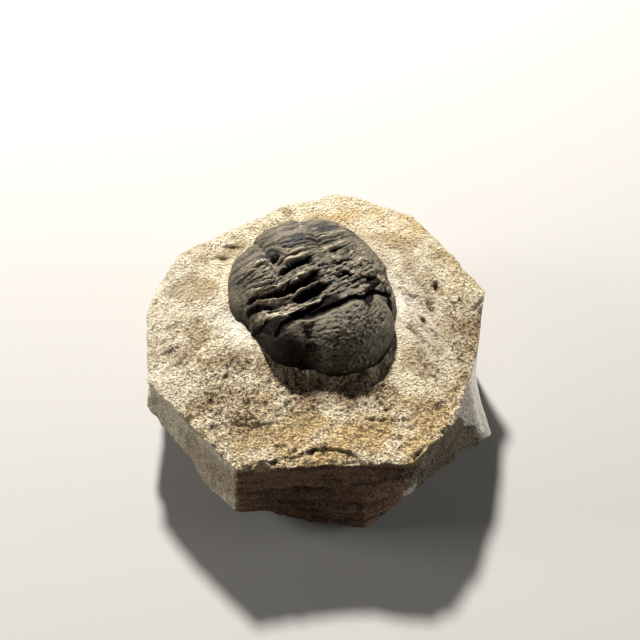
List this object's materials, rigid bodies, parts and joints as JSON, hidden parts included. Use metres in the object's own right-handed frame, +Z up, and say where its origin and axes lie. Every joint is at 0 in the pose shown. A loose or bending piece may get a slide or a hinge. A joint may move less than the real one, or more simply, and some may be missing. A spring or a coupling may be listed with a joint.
{
  "type": "trilobite fossil",
  "caption": "Flexed black trilobite fossil standing proud of a many-sided slab of tan limestone, lying flat on its base.",
  "frame": {"origin": "centre of the object's box, on the flat base", "axes": "+Z up from the base through the slab's thickness; the front, sawn across the bedding, faces -Y"},
  "size_m": [0.0822, 0.0814, 0.0381],
  "materials": {
    "fossil_black": "satin black calcite, finely pitted and creased",
    "limestone_tan": "dry grainy limestone, chiselled top and sawn sides"
  },
  "bodies": {
    "root": {"trilobite": "fossil_black", "limestone_matrix": "limestone_tan"}
  },
  "joints": []
}
